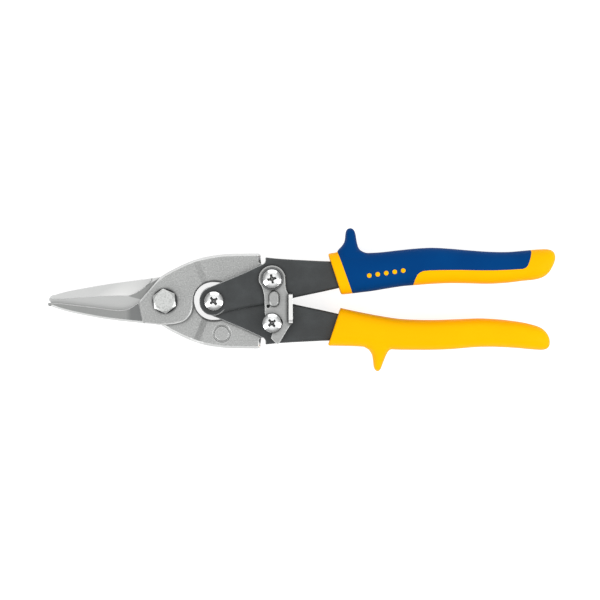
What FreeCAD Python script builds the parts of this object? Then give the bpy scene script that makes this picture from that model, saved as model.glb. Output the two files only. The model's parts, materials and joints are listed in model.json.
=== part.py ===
import FreeCAD, Part
import math
import os

# Aviation snips with compound leverage, closed and lying flat.
# +X runs from the main pivot to the grips, +Y across the tool, +Z up through its thickness.
# The origin is on the main pivot's axis, at the height the tool rests on. Every sub-part is drawn
# about the plane where the blades meet, and its Placement lifts it by mid_height.

Vector = FreeCAD.Vector
doc = FreeCAD.newDocument("aviation_snips")

# ---------------------------------------------------------------- driving dimensions, millimetres
sheet = doc.addObject("Spreadsheet::Sheet", "dims")

DIMENSIONS = {
    # heights
    "mid_height": 10.0,
    "plate_gap": 0.1,
    # jaws
    "jaw_thickness": 5.0,
    "blade_gap": 0.03,
    "blade_relief": 1.6,
    "spine_rise": 0.45,
    "joggle_start": 19.1,
    "joggle_end": 24.3,
    "joggle_angle": 21.3,
    "arm_chamfer": 1.1,
    "hub_chamfer": 0.5,
    "spine_chamfer": 0.9,
    "stamp_radius": 4.0,
    "stamp_groove_radius": 0.55,
    # linkage
    "link_x": 53.3,
    "link_y": 10.95,
    "handle_pivot_x": 24.4,
    "running_gap": 0.05,
    "open_pivot_gap": 0.35,
    # handles
    "handle_wall": 2.0,
    "bend_radius": 1.8,
    "ear_radius": 7.2,
    # fasteners
    "main_shank_radius": 3.5,
    "main_head_flats": 10.7,
    "main_head_height": 4.2,
    "main_crown_height": 1.8,
    "main_washer_radius": 6.2,
    "main_washer_thickness": 1.0,
    "main_nut_flats": 11.1,
    "screw_radius": 2.5,
    "screw_head_radius": 4.65,
    "screw_head_height": 2.4,
    "screw_neck_radius": 2.0,
    "screw_collar_radius": 4.0,
    "recess_length": 4.6,
    "recess_width": 1.2,
    "recess_depth": 1.35,
    "recess_well_radius": 0.7,
    "nut_bevel": 1.75,
    "nut_flats": 8.0,
    "nut_height": 2.6,
    "washer_radius": 4.8,
    "washer_thickness": 0.6,
    # latch
    "latch_thickness": 1.6,
    "latch_tab_height": 6.2,
    "latch_tab_length": 14.6,
    "latch_tab_thickness": 2.0,
    "latch_tab_round": 2.5,
    "latch_rib_height": 1.2,
    "latch_rib_round": 1.15,
    "latch_pilot_radius": 0.9,
    "latch_spring_radius": 5.4,
    "latch_spring_thickness": 0.5,
    # spring
    "bush_radius": 3.3,
    "spring_wire_radius": 0.65,
    "spring_coil_radius": 4.15,
    "spring_pitch": 1.42,
    "spring_leg_length": 16.0,
    "spring_leg_spread": 0.9,
    # grips
    "grip_half_thickness": 10.0,
    "grip_round": 6.0,
    "overmould_skin": 2.6,
}
for row, (alias, number) in enumerate(DIMENSIONS.items(), start=1):
    sheet.set("A" + str(row), alias)
    sheet.set("B" + str(row), str(number))
    sheet.setAlias("B" + str(row), alias)
doc.recompute()


def size(alias):
    """The number in the sheet's cell of that name."""
    return float(getattr(sheet, alias))


# Heights of the layers above the plane where the blades meet.
ARM_TOP = "dims.jaw_thickness / 2"
INNER_WALL = ARM_TOP + " + dims.plate_gap"
OUTER_WALL = INNER_WALL + " + dims.handle_wall + dims.plate_gap"
WALL_TOP = OUTER_WALL + " + dims.handle_wall"
LATCH_BOTTOM = WALL_TOP + " + dims.plate_gap"
LATCH_TOP = LATCH_BOTTOM + " + dims.latch_thickness"
HEAD_SEAT = LATCH_TOP + " + dims.running_gap"
# Heights beyond every part, for tools that cut right through.
FAR_BELOW = "-30"
FAR_ABOVE = "30"


def value(expression):
    """The number that an expression of sheet cells comes to."""
    text = expression
    for alias in sorted(DIMENSIONS, key=len, reverse=True):
        text = text.replace("dims." + alias, repr(size(alias)))
    return float(FreeCAD.Units.Quantity(text.replace(" ", "")))


# ---------------------------------------------------------------- small tools

def bind(item, **expressions):
    """Binds properties to expressions of the sheet; Base_z stands for Placement.Base.z."""
    for name, expression in expressions.items():
        path = "Placement.Base." + name[-1] if name.startswith("Base_") else name
        item.setExpression(path, expression)
    return item


def outline(name, start, *moves):
    """A closed sketch. Each move is a list of points: one point is a straight line to it, two are
    an arc through the first to the second, and more are a smooth curve through them all."""
    sketch = doc.addObject("Sketcher::SketchObject", name)
    here = Vector(*start)
    for move in moves:
        points = [Vector(*point) for point in move]
        if len(points) == 1:
            sketch.addGeometry(Part.LineSegment(here, points[0]))
        elif len(points) == 2:
            sketch.addGeometry(Part.Arc(here, points[0], points[1]))
        else:
            curve = Part.BSplineCurve()
            curve.interpolate([here] + points)
            sketch.addGeometry(curve)
        here = points[-1]
    return sketch


def prism(name, sketch, low, high):
    """A sketch extruded from one height to another, both expressions of the sheet."""
    solid = doc.addObject("Part::Extrusion", name)
    solid.Base = sketch
    solid.DirMode = "Custom"
    solid.Dir = Vector(0, 0, 1)
    solid.Solid = True
    solid.setExpression("LengthFwd", "(" + high + ") - (" + low + ")")
    bind(sketch, Base_z=low)
    return solid


def cylinder(name, radius, low, high, x="0", y="0"):
    """An upright cylinder between two heights."""
    item = doc.addObject("Part::Cylinder", name)
    return bind(item, Radius=radius, Height="(" + high + ") - (" + low + ")",
                Base_x=x, Base_y=y, Base_z=low)


def hexagon(name, flats, low, high, x, y, turn):
    """An upright hexagonal prism, sized across its flats."""
    item = doc.addObject("Part::Prism", name)
    item.Polygon = 6
    item.Placement.Rotation = FreeCAD.Rotation(Vector(0, 0, 1), turn)
    return bind(item, Circumradius="(" + flats + ") / sqrt(3)", Height="(" + high + ") - (" + low + ")",
                Base_x=x, Base_y=y, Base_z=low)


def fuse(name, *items):
    joined = doc.addObject("Part::MultiFuse", name)
    joined.Shapes = list(items)
    joined.Refine = True
    return joined


def cut(name, base, tool):
    made = doc.addObject("Part::Cut", name)
    made.Base = base
    made.Tool = tool
    made.Refine = True
    return made


def common(name, first, second):
    made = doc.addObject("Part::Common", name)
    made.Base = first
    made.Tool = second
    made.Refine = True
    return made


def chamfer(name, base, width, wanted):
    """Chamfers the edges of a solid for which wanted(edge) is true."""
    doc.recompute()
    made = doc.addObject("Part::Chamfer", name)
    made.Base = base
    made.Edges = [(number, width, width) for number, edge in enumerate(base.Shape.Edges, start=1)
                  if wanted(edge)]
    return made


def fillet(name, base, radius, wanted):
    """Rounds the edges of a solid for which wanted(edge) is true."""
    doc.recompute()
    made = doc.addObject("Part::Fillet", name)
    made.Base = base
    made.Edges = [(number, radius, radius) for number, edge in enumerate(base.Shape.Edges, start=1)
                  if wanted(edge)]
    return made


def at_height(edge, height):
    """Whether an edge lies all in one horizontal plane."""
    box = edge.BoundBox
    return abs(box.ZMin - height) < 1e-3 and abs(box.ZMax - height) < 1e-3


def turned_over(name, source):
    """A copy of an object, turned half a turn about X."""
    copy = doc.addObject("Part::Mirroring", name + "_across")
    copy.Source = source
    copy.Normal = Vector(0, 1, 0)
    twice = doc.addObject("Part::Mirroring", name)
    twice.Source = copy
    twice.Normal = Vector(0, 0, 1)
    return twice


def placed(name, source):
    """A copy of an object that others are cut by, so that it can be lifted on its own."""
    copy = doc.addObject("Part::Refine", name)
    copy.Source = source
    return copy


finished = []


def sub_part(label, item):
    """Names the finished sub-part and lifts it to its place above the floor."""
    item.Label = label
    item.setExpression("Placement.Base.z", item_height(item))
    finished.append(item)
    return item


def item_height(item):
    """The expression that lifts an item by mid_height from where it was drawn."""
    for path, expression in item.ExpressionEngine:
        if path.endswith("Placement.Base.z"):
            return "(" + expression + ") + dims.mid_height"
    return "dims.mid_height"


# ---------------------------------------------------------------- jaws

# The arm's outer side, from the hub to the shoulder that stops the handle, then its rounded end
# about the link pin, and its inner side back to the round cut-out that clears the handle ears.
ARM = [
    [(2.5, 15.0), (7.5, 17.5), (12.4, 19.7), (17.4, 21.4), (22.4, 22.5), (27.4, 23.2), (32.3, 23.55)],
    [(46.0, 23.75)],
    [(47.2, 23.2), (47.4, 21.9)],
    [(47.7, 18.6)],
    [(50.5, 17.0)],
    [(59.3, 10.95), (53.3, 4.95)],
    [(46.0, 5.3), (39.0, 6.7), (32.0, 8.4), (24.0, 9.45)],
    [(18.4, 7.9), (15.1, 4.2)],
]


def mirrored(moves):
    return [[(x, -y) for x, y in move] for move in moves]


def joggled(name, blank, side):
    """A jaw blank brought down to the middle plane along its arm; side is 1 in front, -1 behind."""
    profile = doc.addObject("Sketcher::SketchObject", name + "_side_profile")
    start, end = size("joggle_start"), size("joggle_end")
    full, half, gap = size("jaw_thickness"), size("jaw_thickness") / 2, size("blade_gap")
    far = 90.0
    corners = [(-far, gap), (start, gap), (end, -half), (far, -half),
               (far, half), (end, half), (start, full), (-far, full)]
    corners = [Vector(u, side * z) for u, z in corners]
    for first, second in zip(corners, corners[1:] + corners[:1]):
        profile.addGeometry(Part.LineSegment(first, second))
    slab = doc.addObject("Part::Extrusion", name + "_side")
    slab.Base = profile
    slab.DirMode = "Normal"
    slab.Solid = True
    slab.Symmetric = True
    slab.LengthFwd = 2 * far
    upright = FreeCAD.Rotation(Vector(1, 0, 0), 90)
    turn = FreeCAD.Rotation(Vector(0, 0, 1), side * size("joggle_angle"))
    profile.Placement = FreeCAD.Placement(Vector(), turn * upright)
    return common(name + "_joggled", blank, slab)


def drilled(name, item):
    """The main bore in a jaw's hub and the link bore in its arm."""
    main = cylinder(name + "_main_bore", "dims.main_shank_radius + dims.running_gap", FAR_BELOW, FAR_ABOVE)
    side = "-" if name == "back_jaw" else ""
    link = cylinder(name + "_link_bore", "dims.screw_radius + dims.running_gap", FAR_BELOW, FAR_ABOVE,
                    "dims.link_x", side + "dims.link_y")
    return cut(name, item, fuse(name + "_bores", main, link))


def ease_arm(name, jaw, side):
    """Chamfers the outer edge of a jaw's arm on the front, along its curve and its joggle."""
    level = size("jaw_thickness") / 2 - 0.1

    def outer(edge):
        middle = edge.valueAt((edge.FirstParameter + edge.LastParameter) / 2)
        on_front = middle.z > (level if side > 0 else -0.1)
        along = 48 > middle.x > (3.0 if side > 0 else -2.6)
        return on_front and along and middle.y * side > 11.5 and edge.BoundBox.ZLength < 3

    return chamfer(name + "_arm_eased", jaw, size("arm_chamfer"), outer)


def mill_blade(name, jaw, side):
    """Mills a blade's outer face down by blade_relief, up to a straight shoulder at the hub."""
    corners = [[(-70.0, 20.0)], [(-18.16, 20.0)], [(-8.7, -20.0)], [(-70.0, -20.0)]]
    face = "dims.jaw_thickness - dims.blade_relief"
    if side > 0:
        sketch = outline(name + "_mill_outline", (-70.0, -20.0), *corners)
        block = prism(name + "_mill", sketch, face, FAR_ABOVE)
    else:
        sketch = outline(name + "_mill_outline", (-70.0, 20.0), *mirrored(corners))
        block = prism(name + "_mill", sketch, FAR_BELOW, "-(" + face + ")")
    return cut(name + "_milled", jaw, block)


def front_jaw():
    sketch = outline(
        "front_jaw_outline", (-2.5, 11.8), *ARM,
        [(14.4, 2.3), (14.0, 0.3)],
        [(13.7, -3.6), (12.4, -7.0), (9.9, -9.7), (6.8, -10.9), (3.4, -11.5), (-2.5, -11.9)],
        [(-12.4, -10.9), (-22.4, -9.9), (-32.3, -8.55), (-42.3, -6.7), (-52.2, -4.3), (-57.0, -2.6)],
        [(-58.5, -1.8), (-58.2, -0.85)],
        [(-52.2, -1.3), (-42.3, -2.4), (-32.3, -3.6), (-24.0, -4.6), (-19.7, -4.35), (-15.4, -2.4),
         (-12.4, 0.2)],
        [(-2.5, 11.8)],
    )
    blank = prism("front_jaw_blank", sketch, "-dims.jaw_thickness", "dims.jaw_thickness + 1")
    jaw = joggled("front_jaw", blank, 1)
    milled = mill_blade("front_jaw", jaw, 1)
    face = size("jaw_thickness") - size("blade_relief")
    top = size("jaw_thickness")

    def spine_edge(edge):
        return at_height(edge, face) and edge.BoundBox.YMax < -2.5 and edge.BoundBox.XLength > 30

    def hub_edge(edge):
        return at_height(edge, top) and edge.BoundBox.YMax < 9 and edge.BoundBox.XMax < 20

    spine = chamfer("front_jaw_spine", milled, size("spine_chamfer"), spine_edge)
    eased = chamfer("front_jaw_eased", spine, size("hub_chamfer"), hub_edge)
    return drilled("front_jaw", ease_arm("front_jaw", eased, 1))


def back_jaw():
    sketch = outline(
        "back_jaw_outline", (-2.5, -11.8), *mirrored(ARM),
        [(14.4, -2.3), (14.0, -0.3)],
        [(13.7, 3.6), (12.4, 7.0), (9.9, 9.7), (6.8, 10.9), (3.4, 11.5), (-2.5, 11.9)],
        [(-7.5, 11.35), (-12.4, 10.7), (-22.4, 9.4), (-32.3, 7.95), (-42.3, 6.15), (-52.2, 4.1),
         (-55.5, 3.1)],
        [(-57.8, 2.0), (-58.3, 0.1)],
        [(-56.6, -1.5)],
        [(-50.0, -3.0), (-40.0, -4.5), (-30.0, -5.7), (-20.0, -6.4), (-12.5, -6.0)],
        [(-8.2, -9.6), (-2.5, -11.8)],
    )
    blank = prism("back_jaw_blank", sketch, "-dims.jaw_thickness - 1", "dims.jaw_thickness")
    jaw = joggled("back_jaw", blank, -1)
    # The spine stands proud of the meeting plane above the cutting margin.
    zone = outline(
        "back_spine_zone", (-70.0, 1.4),
        [(-58.1, 1.4)],
        [(-53.0, 1.05), (-42.3, 1.85), (-30.0, 2.5), (-18.6, 2.65)],
        [(-16.6, 3.3), (-12.4, 5.5), (-9.2, 8.0), (-7.0, 10.3)],
        [(-6.6, 20.0)], [(-70.0, 20.0)], [(-70.0, 1.4)],
    )
    block = prism("back_spine_block", zone, "-dims.blade_gap - 1", "dims.spine_rise")
    joined = fuse("back_jaw_with_spine", jaw, common("back_spine", blank, block))
    eased = ease_arm("back_jaw", mill_blade("back_jaw", joined, -1), -1)
    # A plain stamped ring on the front of the lower arm.
    stamp = doc.addObject("Part::Torus", "lower_arm_stamp")
    bind(stamp, Radius1="dims.stamp_radius", Radius2="dims.stamp_groove_radius", Base_x="28.2",
         Base_y="-16.3", Base_z=ARM_TOP + " + 0.1")
    return drilled("back_jaw", cut("back_jaw_stamped", eased, stamp))


# ---------------------------------------------------------------- handles

# Side view of the channel's wall: the nose round the handle pivot, the ear's upper edge, the web,
# the tang inside the grip, and the lower edge back to the nose.
WALL = [
    [(31.5, 10.65), (39.4, 14.0), (45.2, 16.7), (48.4, 18.2)],
    [(49.5, 18.9), (50.0, 20.1)],
    [(50.05, 21.7)],
    [(57.2, 21.0), (67.2, 20.4), (81.0, 19.75), (96.0, 19.6)],
    [(172.0, 20.4)],
    [(175.0, 17.4), (172.0, 14.2)],
    [(118.0, 12.6)],
    [(104.0, 10.6), (94.5, 8.4), (86.3, 6.4), (77.0, 4.3), (63.4, 1.4), (55.0, -0.7), (47.3, -2.3),
     (39.4, -3.6), (33.2, -4.9), (27.5, -6.2)],
    [(24.4, -7.2), (17.2, 0.0)],
    [(19.3, 5.1), (21.6, 6.6)],
]


def channel(name, pivot_gap):
    """A pressed channel: two walls, and the web along their outer edge."""
    sketch = outline(name + "_wall_outline", (21.6, 6.6), *WALL)
    blank = prism(name + "_blank", sketch,
                  "-(" + INNER_WALL + " + dims.handle_wall)", WALL_TOP)
    inner = outline(
        name + "_inner_outline", (10.0, 30.0),
        [(49.2, 30.0)], [(49.2, 19.6)],
        [(57.2, 19.0), (67.2, 18.4), (81.0, 17.75), (96.0, 17.6)],
        [(172.4, 18.4)],
        [(180.0, 18.4)], [(180.0, -20.0)], [(10.0, -20.0)], [(10.0, 30.0)],
    )
    hollow = prism(name + "_hollow", inner, "-(" + INNER_WALL + ")", OUTER_WALL)
    pressed = cut(name + "_pressed", blank, hollow)
    faces = (value(WALL_TOP), -value(INNER_WALL + " + dims.handle_wall"))

    def bend(edge):
        return any(at_height(edge, face) for face in faces) and edge.BoundBox.YMin > 19.5 \
            and edge.BoundBox.XLength > 3

    pressed = fillet(name + "_bent", pressed, size("bend_radius"), bend)
    pivot = cylinder(name + "_pivot_hole", "dims.screw_radius + " + pivot_gap, FAR_BELOW, FAR_ABOVE,
                     "dims.handle_pivot_x")
    link = cylinder(name + "_link_hole", "dims.screw_radius", FAR_BELOW, FAR_ABOVE,
                    "dims.link_x", "dims.link_y")
    return cut(name + "_drilled", pressed, fuse(name + "_holes", pivot, link))


# ---------------------------------------------------------------- fasteners

def ring(label, outer, inner, low, high, x, y):
    """A washer, spacer or bush."""
    disc = cylinder(label + "_disc", outer, low, high, x, y)
    hole = cylinder(label + "_hole", inner, FAR_BELOW, FAR_ABOVE, x, y)
    return sub_part(label, cut(label, disc, hole))


def nut(label, flats, hole_radius, low, high, x, y, turn):
    """A hexagonal nut whose outer corners are taken off by a cone."""
    body = hexagon(label + "_hexagon", flats, low, high, x, y, turn)
    cone = doc.addObject("Part::Cone", label + "_bevel")
    bind(cone, Radius1=flats + " * 0.5", Radius2=flats + " * 0.5 + 3", Height="dims.nut_bevel",
         Base_x=x, Base_y=y, Base_z=low)
    rest = cylinder(label + "_rest", flats + " * 0.7", "(" + low + ") + dims.nut_bevel", high, x, y)
    bevelled = common(label + "_bevelled", body, fuse(label + "_envelope", cone, rest))
    hole = cylinder(label + "_hole", hole_radius, FAR_BELOW, FAR_ABOVE, x, y)
    return sub_part(label, cut(label, bevelled, hole))


def cross_recess(name, x, y, top, turn):
    """The cross-shaped driver recess: two crossed slots with a central well."""
    length, width, above = size("recess_length"), size("recess_width"), 3.0
    floor = top - size("recess_depth")
    slots = []
    for number, angle in enumerate((turn, turn + 90)):
        slot = doc.addObject("Part::Box", name + "_slot_" + str(number))
        bind(slot, Length="dims.recess_length", Width="dims.recess_width")
        slot.Height = above
        rotation = FreeCAD.Rotation(Vector(0, 0, 1), angle)
        corner = rotation.multVec(Vector(-length / 2, -width / 2, 0))
        slot.Placement = FreeCAD.Placement(Vector(x + corner.x, y + corner.y, floor), rotation)
        slots.append(slot)
    well = doc.addObject("Part::Cone", name + "_well")
    bind(well, Radius1="dims.recess_well_radius", Radius2="dims.recess_well_radius + 1")
    well.Height = above
    well.Placement.Base = Vector(x, y, floor - 0.25)
    return fuse(name + "_recess", *slots, well)


def domed_head(name, x, y, seat, turn):
    """A low domed screw head with a cross recess, standing on height seat."""
    radius, height = size("screw_head_radius"), size("screw_head_height")
    rim = 0.9
    ball_radius = (radius ** 2 + (height - rim) ** 2) / (2 * (height - rim))
    foot = value(seat)
    drum = cylinder(name + "_head_drum", "dims.screw_head_radius", seat,
                    seat + " + dims.screw_head_height", str(x), str(y))
    ball = doc.addObject("Part::Sphere", name + "_dome")
    ball.Radius = ball_radius
    ball.Placement.Base = Vector(x, y, foot + height - ball_radius)
    dome = common(name + "_head", drum, ball)
    return cut(name + "_driven_head", dome, cross_recess(name, x, y, foot + height, turn))


def build_fasteners():
    link_x, link_y, pivot_x = size("link_x"), size("link_y"), size("handle_pivot_x")
    wall_back = "-(" + INNER_WALL + " + dims.handle_wall)"
    outer_back = "-(" + WALL_TOP + ")"

    # Main pivot: bolt, washers and locking nut; its end is flush with the nut's face.
    shank = cylinder("main_shank", "dims.main_shank_radius", "-dims.mid_height", "dims.jaw_thickness + 1")
    seat = "dims.jaw_thickness + dims.main_washer_thickness"
    head = hexagon("main_head", "dims.main_head_flats", seat, seat + " + dims.main_head_height",
                   "0", "0", 96.5)
    crown_low = seat + " + dims.main_head_height - dims.main_crown_height"
    crown = doc.addObject("Part::Cone", "main_head_crown")
    bind(crown, Radius1="dims.main_head_flats * 0.5 + 2.6", Radius2="dims.main_head_flats * 0.5 - 0.5",
         Height="dims.main_crown_height", Base_z=crown_low)
    skirt = cylinder("main_head_skirt", "dims.main_head_flats", seat, crown_low)
    bevelled = common("main_head_bevelled", head, fuse("main_head_envelope", crown, skirt))
    sub_part("pivot_bolt", fuse("pivot_bolt", shank, bevelled))
    ring("pivot_washer", "dims.main_washer_radius", "dims.main_shank_radius", "dims.jaw_thickness",
         seat, "0", "0")
    back = "-dims.jaw_thickness - dims.running_gap"
    back_low = back + " - dims.main_washer_thickness"
    ring("pivot_back_washer", "dims.main_washer_radius + 0.6", "dims.main_shank_radius", back_low, back,
         "0", "0")
    nut("pivot_nut", "dims.main_nut_flats", "dims.main_shank_radius", "-dims.mid_height", back_low,
        "0", "0", 12)

    # Handle pivot.
    head_low = WALL_TOP + " + dims.washer_thickness"
    pivot_low = outer_back + " - dims.running_gap - dims.washer_thickness"
    shank = cylinder("handle_pivot_shank", "dims.screw_radius", pivot_low + " - dims.nut_height", head_low,
                     "dims.handle_pivot_x")
    sub_part("handle_pivot_screw", fuse("handle_pivot_screw", shank,
                                        domed_head("handle_pivot", pivot_x, 0.0, head_low, 38)))
    ring("handle_pivot_front_washer", "dims.washer_radius", "dims.screw_radius", WALL_TOP, head_low,
         "dims.handle_pivot_x", "0")
    ring("handle_pivot_washer", "dims.washer_radius", "dims.screw_radius", pivot_low,
         outer_back + " - dims.running_gap", "dims.handle_pivot_x", "0")
    nut("handle_pivot_nut", "dims.nut_flats", "dims.screw_radius", pivot_low + " - dims.nut_height",
        pivot_low, "dims.handle_pivot_x", "0", 0)
    ring("spring_bush", "dims.bush_radius", "dims.screw_radius",
         "-(" + ARM_TOP + " + dims.running_gap)", ARM_TOP + " + dims.running_gap",
         "dims.handle_pivot_x", "0")

    # Upper link: the latch turns on this screw, under a wave washer.
    upper_seat = HEAD_SEAT + " + dims.latch_spring_thickness"
    washer_low = wall_back + " - dims.washer_thickness"
    shank = cylinder("upper_link_shank", "dims.screw_radius", washer_low + " - dims.nut_height",
                     upper_seat, "dims.link_x", "dims.link_y")
    sub_part("upper_link_screw", fuse("upper_link_screw", shank,
                                      domed_head("upper_link", link_x, link_y, upper_seat, 12)))
    ring("latch_spring_washer", "dims.latch_spring_radius", "dims.screw_radius", HEAD_SEAT, upper_seat,
         "dims.link_x", "dims.link_y")
    ring("upper_arm_spacer", "dims.washer_radius", "dims.screw_radius",
         ARM_TOP + " + dims.running_gap", OUTER_WALL, "dims.link_x", "dims.link_y")
    ring("upper_link_washer", "dims.washer_radius", "dims.screw_radius", washer_low, wall_back,
         "dims.link_x", "dims.link_y")
    nut("upper_link_nut", "dims.nut_flats", "dims.screw_radius", washer_low + " - dims.nut_height",
        washer_low, "dims.link_x", "dims.link_y", 20)

    # Lower link: a collar, a neck for the latch and the head above it.
    inner_top = INNER_WALL + " + dims.handle_wall"
    collar_top = WALL_TOP + " + dims.running_gap"
    shank = cylinder("lower_link_shank", "dims.screw_radius", outer_back + " - dims.nut_height",
                     inner_top, "dims.link_x", "-dims.link_y")
    collar = cylinder("lower_link_collar", "dims.screw_collar_radius", inner_top, collar_top,
                      "dims.link_x", "-dims.link_y")
    neck = cylinder("lower_link_neck", "dims.screw_neck_radius", collar_top, HEAD_SEAT,
                    "dims.link_x", "-dims.link_y")
    sub_part("lower_link_screw", fuse("lower_link_screw", shank, collar, neck,
                                      domed_head("lower_link", link_x, -link_y, HEAD_SEAT, 40)))
    ring("lower_arm_spacer", "dims.washer_radius", "dims.screw_radius", "-(" + OUTER_WALL + ")",
         "-(" + ARM_TOP + " + dims.running_gap)", "dims.link_x", "-dims.link_y")
    nut("lower_link_nut", "dims.nut_flats", "dims.screw_radius", outer_back + " - dims.nut_height",
        outer_back, "dims.link_x", "-dims.link_y", 9)


# ---------------------------------------------------------------- latch

def latch():
    """The hook plate, its bent-up thumb tab, its stiffening rib and its bores."""
    sketch = outline(
        "latch_outline", (47.0, 9.2),
        [(53.0, 17.55), (59.6, 13.0)],
        [(59.9, 9.4), (60.2, 6.2), (61.4, 3.6)],
        [(63.6, 3.6)],
        [(63.6, -11.0)],
        [(62.0, -12.4)],
        [(56.9, -20.9)],
        [(56.1, -21.3), (55.2, -20.9)],
        [(52.9, -18.5)],
        # the lip's hooked end, then the mouth that the lower screw's neck slides in
        [(53.6, -15.9), (54.9, -13.3)],
        [(57.5, -12.9), (58.7, -10.6), (56.4, -8.35)],
        [(50.3, -8.2)],
        [(49.8, -6.2)],
        [(49.6, 0.9)],
        [(49.1, 4.6), (48.4, 6.8), (47.0, 9.2)],
    )
    plate = prism("latch_blank", sketch, LATCH_BOTTOM, LATCH_TOP)
    tab = doc.addObject("Part::Box", "latch_tab")
    bind(tab, Length="dims.latch_tab_thickness", Width="dims.latch_tab_length",
         Height="dims.latch_thickness + dims.latch_tab_height",
         Base_x="63.6 - dims.latch_tab_thickness", Base_y="-11.0", Base_z=LATCH_BOTTOM)
    tab_top = value(LATCH_TOP) + size("latch_tab_height")
    rib_top = value(LATCH_TOP) + size("latch_rib_height")

    def tab_corner(edge):
        return abs(edge.BoundBox.XLength - size("latch_tab_thickness")) < 1e-3 \
            and at_height(edge, tab_top)

    rounded_tab = fillet("latch_tab_rounded", tab, size("latch_tab_round"), tab_corner)
    rib = outline("latch_rib_outline", (51.6, 2.4), [(54.3, 5.1), (57.0, 2.4)], [(57.0, -0.3)],
                  [(54.3, -3.0), (51.6, -0.3)], [(51.6, 2.4)])
    raised = prism("latch_rib_blank", rib, LATCH_TOP + " - 0.4", LATCH_TOP + " + dims.latch_rib_height")
    soft = fillet("latch_rib", raised, size("latch_rib_round"), lambda edge: at_height(edge, rib_top))
    joined = fuse("latch_joined", plate, rounded_tab, soft)
    bore = cylinder("latch_bore", "dims.screw_radius + dims.running_gap", FAR_BELOW, FAR_ABOVE,
                    "dims.link_x", "dims.link_y")
    pilot = cylinder("latch_pilot", "dims.latch_pilot_radius", FAR_BELOW, FAR_ABOVE, "51.4", "-2.6")
    return sub_part("latch_plate", cut("latch_plate", joined, fuse("latch_bores", bore, pilot)))


# ---------------------------------------------------------------- spring

def torsion_spring():
    """Two and a half turns round the bush, with a straight leg out to each arm."""
    wire, radius, pitch = size("spring_wire_radius"), size("spring_coil_radius"), size("spring_pitch")
    pivot_x = size("handle_pivot_x")
    turns = 2.5
    rise = turns * pitch
    coil = Part.makeHelix(pitch, rise, radius)
    coil.rotate(Vector(), Vector(0, 0, 1), -90)
    coil.translate(Vector(pivot_x, 0, -rise / 2))
    start = Vector(pivot_x, -radius, -rise / 2)
    end = Vector(pivot_x, radius, rise / 2)
    slope = Vector(1, 0, pitch / (2 * math.pi * radius))
    circle = Part.Wire(Part.makeCircle(wire, start, slope))
    solids = [Part.Wire(coil.Edges).makePipeShell([circle], True, True)]
    for root, side in ((start, -1), (end, 1)):
        leg = Vector(size("spring_leg_length"), side * size("spring_leg_spread"), 0)
        solids.append(Part.makeCylinder(wire, leg.Length, root, leg))
        solids.append(Part.makeSphere(wire, root))
    spring = doc.addObject("Part::Feature", "torsion_spring")
    spring.Shape = solids[0].multiFuse(solids[1:])
    return sub_part("torsion_spring", spring)


# ---------------------------------------------------------------- grips

def rounded_grip(name, sketch):
    """A grip blank: its outline at full thickness with the long edges well rounded."""
    low, high = "-dims.grip_half_thickness", "dims.grip_half_thickness"
    blank = prism(name + "_blank", sketch, low, high)
    half = size("grip_half_thickness")
    return fillet(name + "_rounded", blank, size("grip_round"),
                  lambda edge: (at_height(edge, half) or at_height(edge, -half))
                  and edge.BoundBox.XLength > 8)


def upper_grip(handle):
    sketch = outline(
        "upper_grip_outline", (81.2, 23.6),
        [(87.8, 3.2)],
        [(94.3, 3.8), (107.0, 5.5), (123.4, 7.6), (141.8, 8.8), (161.7, 8.6), (176.6, 9.7), (186.6, 11.0)],
        [(193.6, 18.3), (190.7, 25.9)],
        [(181.6, 25.4), (166.7, 24.5), (151.7, 25.2), (133.3, 26.5), (116.9, 25.4), (107.0, 24.2),
         (95.0, 24.6), (81.2, 23.6)],
    )
    grip = rounded_grip("upper_grip", sketch)
    horn = outline(
        "thumb_stop_outline", (86.1, 22.0),
        [(86.1, 25.4)],
        [(89.0, 28.4), (89.9, 33.8), (92.3, 36.3), (94.9, 33.8), (96.0, 28.0), (99.5, 24.0)],
        [(99.5, 22.0)], [(86.1, 22.0)],
    )
    stop = prism("thumb_stop", horn, "-6.5", "6.5")
    whole = fuse("upper_grip_whole", grip, stop)
    region = outline(
        "overmould_outline", (85.8, 40.0),
        [(85.8, 24.9)],
        [(93.5, 3.7)], [(93.5, -5.0)], [(123.4, -5.0)],
        [(123.4, 7.9)],
        [(124.0, 14.0), (129.5, 15.0)],
        [(146.8, 15.5)], [(166.7, 15.4)], [(178.2, 16.0)],
        [(180.9, 19.5), (182.0, 25.0)],
        [(182.0, 40.0)], [(85.8, 40.0)],
    )
    zone = prism("overmould_zone", region, FAR_BELOW, FAR_ABOVE)
    # The core runs on under the overmould, thinner by the skin.
    inner = outline(
        "core_inner_outline", (85.0, 22.0),
        [(88.5, 6.5)],
        [(104.0, 8.0), (123.4, 10.3), (141.8, 11.5), (161.7, 11.5), (184.0, 13.0)],
        [(184.0, 22.4)],
        [(166.7, 22.0), (150.0, 22.6), (133.3, 23.4), (116.9, 22.7), (107.0, 22.0), (85.0, 22.0)],
    )
    heart = prism("core_inner", inner, "-dims.grip_half_thickness + dims.overmould_skin",
                  "dims.grip_half_thickness - dims.overmould_skin")
    skin = cut("overmould_skin_zone", zone, heart)
    overmould = common("upper_grip_overmould", whole, skin)
    core = cut("upper_grip_core", cut("upper_grip_core_full", whole, skin), handle)
    sub_part("upper_grip_overmould", overmould)
    sub_part("upper_grip_core", core)


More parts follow.
